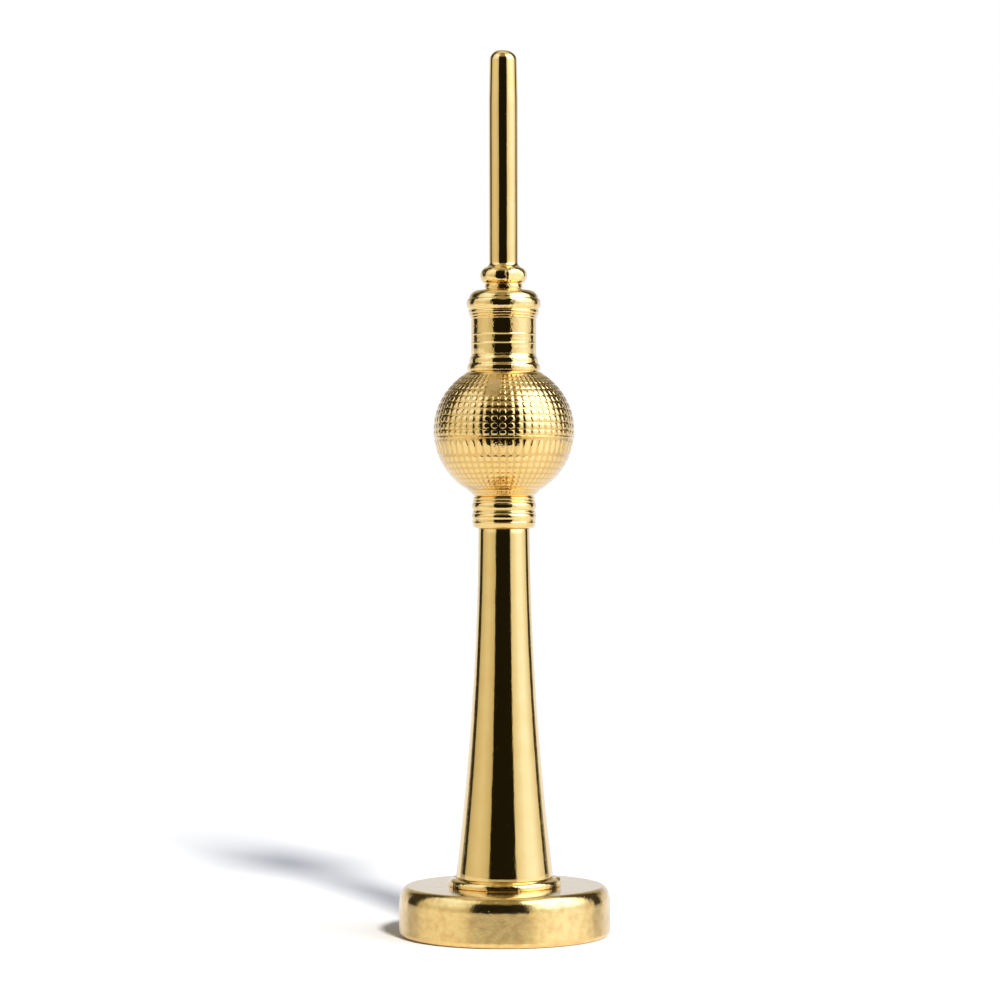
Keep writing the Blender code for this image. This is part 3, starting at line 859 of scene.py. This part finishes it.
rod_outline = [(TIP_FLAT, TIP_HEIGHT)]
rod_outline += round_over(
    ROD_TIP_RADIUS - TIP_ROUND, TIP_HEIGHT - TIP_ROUND, TIP_ROUND, 84, 0
)
rod_bottom = ANTENNA_SEAT + FILLET_HEIGHT
taper_top = TIP_HEIGHT - TIP_ROUND
rod_outline.append((ROD_RADIUS - 0.03 * MM, taper_top - TAPER_LENGTH))
for i in range(1, ROD_RINGS + 1):
    drop = (taper_top - TAPER_LENGTH - rod_bottom) * i / ROD_RINGS
    rod_outline.append((ROD_RADIUS, taper_top - TAPER_LENGTH - drop))
rod_outline += round_over(ROD_RADIUS + FILLET, rod_bottom, FILLET, 180, 250)
rod_outline += [
    (SPIGOT_RADIUS, ANTENNA_SEAT - 0.1 * MM),
    (SPIGOT_RADIUS, SPIGOT_BOTTOM),
    (0.0, SPIGOT_BOTTOM),
]
antenna = turn("antenna", rod_outline, 96, 0.03 * MM)
antenna.data.materials.append(
    mirror_gold("antenna_gold", 0.012 * MM, 0.003 * MM, drawn=0.005 * MM)
)
nudge(antenna, 90, 0.3 * MM, TIP_HEIGHT, (-TIP_LEAN, 0, 0), 2.4 * MM)
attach(antenna, "root")
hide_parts("antenna_rod")

# --- Table ---------------------------------------------------------------------------------
# A plain white table top. Its front part isn't mirrored in the gold, because the polished
# metal of a real set reflects the dark room beyond the table's edge there.

TABLE_REACH = 3.0
TABLE_FRONT = -0.165
TABLE_WHITE = (0.95, 0.93, 0.885)
SHEET_WHITE = (0.86, 0.85, 0.85)


def white_top():
    """Matt white to the eye; in the gold it mirrors as the glossy sheet it is."""
    top = Finish("white_table_top", TABLE_WHITE, 0.6, metallic=0.0)
    top.shader.inputs["Specular IOR Level"].default_value = 0.0
    top.relief(top.noise(3.0 * MM, 2.0), 0.005 * MM)
    sheet = top.nodes.new("ShaderNodeBsdfPrincipled")
    sheet.inputs["Base Color"].default_value = (*SHEET_WHITE, 1)
    sheet.inputs["Roughness"].default_value = 0.12
    mix = top.nodes.new("ShaderNodeMixShader")
    path = top.nodes.new("ShaderNodeLightPath")
    top.links.new(path.outputs["Is Glossy Ray"], mix.inputs["Fac"])
    top.links.new(top.shader.outputs["BSDF"], mix.inputs[1])
    top.links.new(sheet.outputs["BSDF"], mix.inputs[2])
    top.links.new(mix.outputs["Shader"], top.nodes["Material Output"].inputs["Surface"])
    return top.material


def table_part(name, back, front):
    bpy.ops.object.select_all(action="DESELECT")
    bpy.ops.mesh.primitive_plane_add(size=1.0, location=(0, (back + front) / 2, 0))
    part = bpy.context.object
    part.name = name
    part.scale = (2 * TABLE_REACH, back - front, 1)
    bpy.ops.object.transform_apply(location=True, rotation=True, scale=True)
    part.data.materials.append(white_top())
    return part


table_part("table_top", TABLE_REACH, TABLE_FRONT)
table_front = table_part("table_front", TABLE_FRONT, -TABLE_REACH)
table_front.visible_glossy = False

# --- Studio light --------------------------------------------------------------------------
# A soft box on each side, the right-hand one stronger, both brightest high up; a white backdrop
# behind, a dim ceiling, and the dark room behind the camera. Azimuth 0 is towards the camera
# and positive to the right.

# For each band of elevation: (azimuth in degrees, brightness).
LOW_BAND = (
    (-180, 0.8), (-133, 0.8), (-130, 0.03), (-111, 0.03), (-108, 0.54), (-96, 0.66),
    (-80, 0.75), (-70, 0.78), (-60, 0.74), (-48, 0.66), (-39, 0.55), (-36.5, 0.012),
    (26.5, 0.012), (29, 0.72), (36, 0.88), (46, 1.0), (60, 1.22), (78, 1.28), (92, 1.08),
    (104, 0.85), (111, 0.75), (114, 0.04), (130, 0.04), (133, 0.8), (180, 0.8),
)
MIDDLE_BAND = (
    (-180, 0.5), (-150, 0.4), (-140, 0.04), (-108, 0.04), (-103, 0.8), (-90, 1.0),
    (-60, 1.15), (-42, 0.95), (-36, 0.015), (26, 0.015), (32, 1.4), (50, 2.8),
    (85, 2.8), (106, 1.0), (111, 0.05), (140, 0.05), (150, 0.4), (180, 0.5),
)
HIGH_BAND = (
    (-180, 0.5), (-162, 0.4), (-146, 0.08), (-114, 0.08), (-106, 0.8), (-95, 1.1), (-70, 1.35),
    (-48, 1.35), (-38, 0.8), (-30, 0.34), (18, 0.34), (26, 1.0), (36, 4.4),
    (85, 4.4), (104, 1.6), (112, 0.1), (146, 0.08), (162, 0.4), (180, 0.5),
)
TOP_BAND = (
    (-180, 0.7), (-120, 0.7), (-60, 0.6), (-34, 0.3), (24, 0.3), (60, 0.9), (120, 0.7), (180, 0.7),
)
BAND_JOINTS = ((4, 24), (32, 44), (50, 64))
BACKDROP_WHITE = 1.0
DIFFUSE_SHARE = 0.42
STRONGEST = 8.0
NEUTRAL_BRIGHTNESS = 0.76
TINT_RANGE = 0.5

world = bpy.data.worlds.new("studio")
bpy.context.scene.world = world
world.use_nodes = True
nodes = world.node_tree.nodes
links = world.node_tree.links
background = nodes["Background"]


def math_node(operation, first, second=None):
    node = nodes.new("ShaderNodeMath")
    node.operation = operation
    for socket, value in zip(node.inputs, (first, second)):
        if isinstance(value, (int, float)):
            socket.default_value = value
        elif value is not None:
            links.new(value, socket)
    return node.outputs["Value"]


def lamp_colour(brightness):
    """A soft box looks whiter and cooler the harder it burns, and warmer where it fades."""
    cool = max(-1.0, min(1.0, (brightness - NEUTRAL_BRIGHTNESS) / TINT_RANGE))
    red = 1 - 0.14 * max(cool, 0)
    green = 1 + 0.08 * min(cool, 0)
    blue = 1 + 0.4 * cool
    level = brightness / STRONGEST
    return (level * red, level * green, level * blue, 1)


def band_ramp(azimuth_share, stops):
    """Brightness round the horizon, read from the stops."""
    ramp = nodes.new("ShaderNodeValToRGB")
    links.new(azimuth_share, ramp.inputs["Fac"])
    elements = ramp.color_ramp.elements
    for index, (azimuth, brightness) in enumerate(stops):
        position = (azimuth + 180) / 360
        if index < 2:
            element = elements[index]
            element.position = position
        else:
            element = elements.new(position)
        element.color = lamp_colour(brightness)
    return ramp.outputs["Color"]


def blend(low, high, factor):
    mix = nodes.new("ShaderNodeMix")
    mix.data_type = "RGBA"
    for name, value in (("Factor", factor), ("A", low), ("B", high)):
        if isinstance(value, tuple):
            mix.inputs[name].default_value = value
        else:
            links.new(value, mix.inputs[name])
    return mix.outputs["Result"]


direction = nodes.new("ShaderNodeTexCoord").outputs["Generated"]
parts = nodes.new("ShaderNodeSeparateXYZ")
links.new(direction, parts.inputs["Vector"])
azimuth = math_node("ARCTAN2", parts.outputs["X"], math_node("MULTIPLY", parts.outputs["Y"], -1))
azimuth_share = math_node("ADD", math_node("DIVIDE", azimuth, math.tau), 0.5)
elevation = math_node("ARCSINE", parts.outputs["Z"])
light = band_ramp(azimuth_share, LOW_BAND)
for stops, (start, end) in zip((MIDDLE_BAND, HIGH_BAND, TOP_BAND), BAND_JOINTS):
    rise = nodes.new("ShaderNodeMapRange")
    rise.interpolation_type = "SMOOTHSTEP"
    rise.inputs["From Min"].default_value = math.radians(start)
    rise.inputs["From Max"].default_value = math.radians(end)
    links.new(elevation, rise.inputs["Value"])
    light = blend(light, band_ramp(azimuth_share, stops), rise.outputs["Result"])
grey = nodes.new("ShaderNodeRGBToBW")
links.new(light, grey.inputs["Color"])
light_path = nodes.new("ShaderNodeLightPath")
light = blend(
    light,
    math_node("MULTIPLY", grey.outputs["Val"], DIFFUSE_SHARE),
    light_path.outputs["Is Diffuse Ray"],
)
white = BACKDROP_WHITE / STRONGEST
light = blend(light, (white, white, white, 1), light_path.outputs["Is Camera Ray"])
links.new(light, background.inputs["Color"])
background.inputs["Strength"].default_value = STRONGEST

# A key lamp to the front right lays the tower's soft shadow on the table, back to the left. It
# isn't mirrored in the gold.
KEY_AZIMUTH = 22
KEY_ELEVATION = 36
KEY_STRENGTH = 3.8
KEY_SOFTNESS = math.radians(9)

key_data = bpy.data.lights.new("key_lamp", "SUN")
key_data.energy = KEY_STRENGTH
key_data.angle = KEY_SOFTNESS
key_lamp = bpy.data.objects.new("key_lamp", key_data)
bpy.context.scene.collection.objects.link(key_lamp)
key_lamp.rotation_euler = (math.radians(90 - KEY_ELEVATION), 0, math.radians(KEY_AZIMUTH))
key_lamp.visible_glossy = False

# --- Camera --------------------------------------------------------------------------------
# The camera is level with the middle of the tower and half a metre off, with a long lens. It
# stands a hair to the left and is rolled by a tenth of a degree.

CAMERA_DISTANCE = 0.5224
CAMERA_HEIGHT = 0.0714
AIM_HEIGHT = 0.0689
CAMERA_ASIDE = -0.00063
CAMERA_ROLL = math.radians(0.1)
SENSOR_WIDTH = 36
LENS_LENGTH = 118.8

camera_data = bpy.data.cameras.new("camera")
camera_data.sensor_width = SENSOR_WIDTH
camera_data.lens = LENS_LENGTH
camera = bpy.data.objects.new("camera", camera_data)
bpy.context.scene.collection.objects.link(camera)
camera.location = (CAMERA_ASIDE, -CAMERA_DISTANCE, CAMERA_HEIGHT)
pitch = math.atan2(CAMERA_HEIGHT - AIM_HEIGHT, CAMERA_DISTANCE)
camera.rotation_euler = (math.pi / 2 - pitch, CAMERA_ROLL, 0)
bpy.context.scene.camera = camera
bpy.context.scene.view_settings.view_transform = "Standard"
